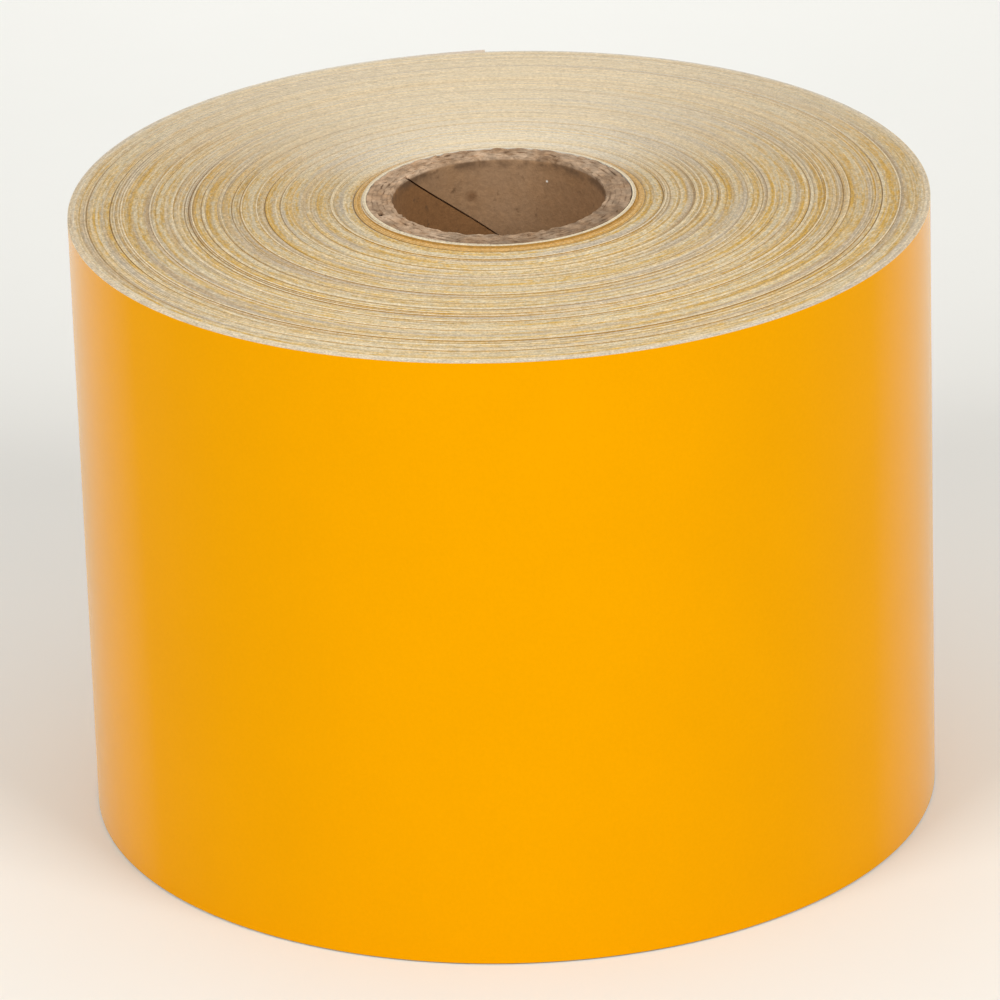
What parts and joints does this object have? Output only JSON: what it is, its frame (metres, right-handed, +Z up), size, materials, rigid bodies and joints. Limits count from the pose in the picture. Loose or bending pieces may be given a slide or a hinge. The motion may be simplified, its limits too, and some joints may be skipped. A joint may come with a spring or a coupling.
{
  "type": "roll of sign vinyl",
  "caption": "Roll of satin self-adhesive sign vinyl on a release liner, wound face out on a spiral-wound cardboard core, with a tail that unwinds and film that peels.",
  "frame": {"origin": "centre of the roll's bottom end, on the axis of the core", "axes": "+Z up along the roll's axis; the free end of the web is at the back, near +Y; seen from above the web winds outward clockwise"},
  "size_m": [0.1028, 0.1029, 0.0766],
  "materials": {
    "core_board": "matte",
    "start_tape": "matte",
    "release_liner": "satin",
    "vinyl_film": "satin",
    "wound_edges": "matte"
  },
  "bodies": {
    "wound_roll": {"core_ply_1": "core_board", "core_ply_2": "core_board", "core_ply_3": "core_board", "core_ply_4": "core_board", "core_ply_5": "core_board", "start_tape": "start_tape", "first_turn_liner": "release_liner", "first_turn_film": "vinyl_film", "wound_turns": "wound_edges", "last_turn_liner": "release_liner", "last_turn_film": "vinyl_film"},
    "tail_1": {"tail_liner_1": "release_liner", "tail_film_1": "vinyl_film"},
    "tail_2": {"tail_liner_2": "release_liner", "tail_film_2": "vinyl_film"},
    "tail_3": {"tail_liner_3": "release_liner", "tail_film_3": "vinyl_film"},
    "tail_4": {"tail_liner_4": "release_liner", "tail_film_4": "vinyl_film"},
    "tail_5": {"tail_liner_5": "release_liner", "tail_film_5": "vinyl_film"},
    "tail_6": {"tail_liner_6": "release_liner", "tail_film_6": "vinyl_film"},
    "film_flap_1": {"film_flap_1": "vinyl_film"},
    "film_flap_2": {"film_flap_2": "vinyl_film"}
  },
  "joints": [
    {"name": "unwind_1", "type": "hinge", "parent": "wound_roll", "child": "tail_1", "pos_m": [-0.05145, -0.00112, 0.0381], "axis": [0, 0, 1], "range_deg": [0, 11.25]},
    {"name": "unwind_2", "type": "hinge", "parent": "tail_1", "child": "tail_2", "pos_m": [-0.05068, 0.00894, 0.0381], "axis": [0, 0, 1], "range_deg": [0, 11.25]},
    {"name": "unwind_3", "type": "hinge", "parent": "tail_2", "child": "tail_3", "pos_m": [-0.04797, 0.01865, 0.0381], "axis": [0, 0, 1], "range_deg": [0, 11.25]},
    {"name": "unwind_4", "type": "hinge", "parent": "tail_3", "child": "tail_4", "pos_m": [-0.04341, 0.02766, 0.0381], "axis": [0, 0, 1], "range_deg": [0, 11.25]},
    {"name": "unwind_5", "type": "hinge", "parent": "tail_4", "child": "tail_5", "pos_m": [-0.03719, 0.0356, 0.0381], "axis": [0, 0, 1], "range_deg": [0, 11.25]},
    {"name": "unwind_6", "type": "hinge", "parent": "tail_5", "child": "tail_6", "pos_m": [-0.02953, 0.04217, 0.0381], "axis": [0, 0, 1], "range_deg": [0, 11.25]},
    {"name": "film_peel_1", "type": "hinge", "parent": "tail_6", "child": "film_flap_1", "pos_m": [-0.02074, 0.04713, 0.0381], "axis": [0, 0, 1], "range_deg": [0, 60]},
    {"name": "film_peel_2", "type": "hinge", "parent": "film_flap_1", "child": "film_flap_2", "pos_m": [-0.01115, 0.05027, 0.0381], "axis": [0, 0, 1], "range_deg": [0, 60]}
  ],
  "couplings": [
    {"joint": "unwind_2", "follows": "unwind_1", "ratio": 1},
    {"joint": "unwind_3", "follows": "unwind_1", "ratio": 1},
    {"joint": "unwind_4", "follows": "unwind_1", "ratio": 1},
    {"joint": "unwind_5", "follows": "unwind_1", "ratio": 1},
    {"joint": "unwind_6", "follows": "unwind_1", "ratio": 1},
    {"joint": "film_peel_2", "follows": "film_peel_1", "ratio": 1}
  ]
}
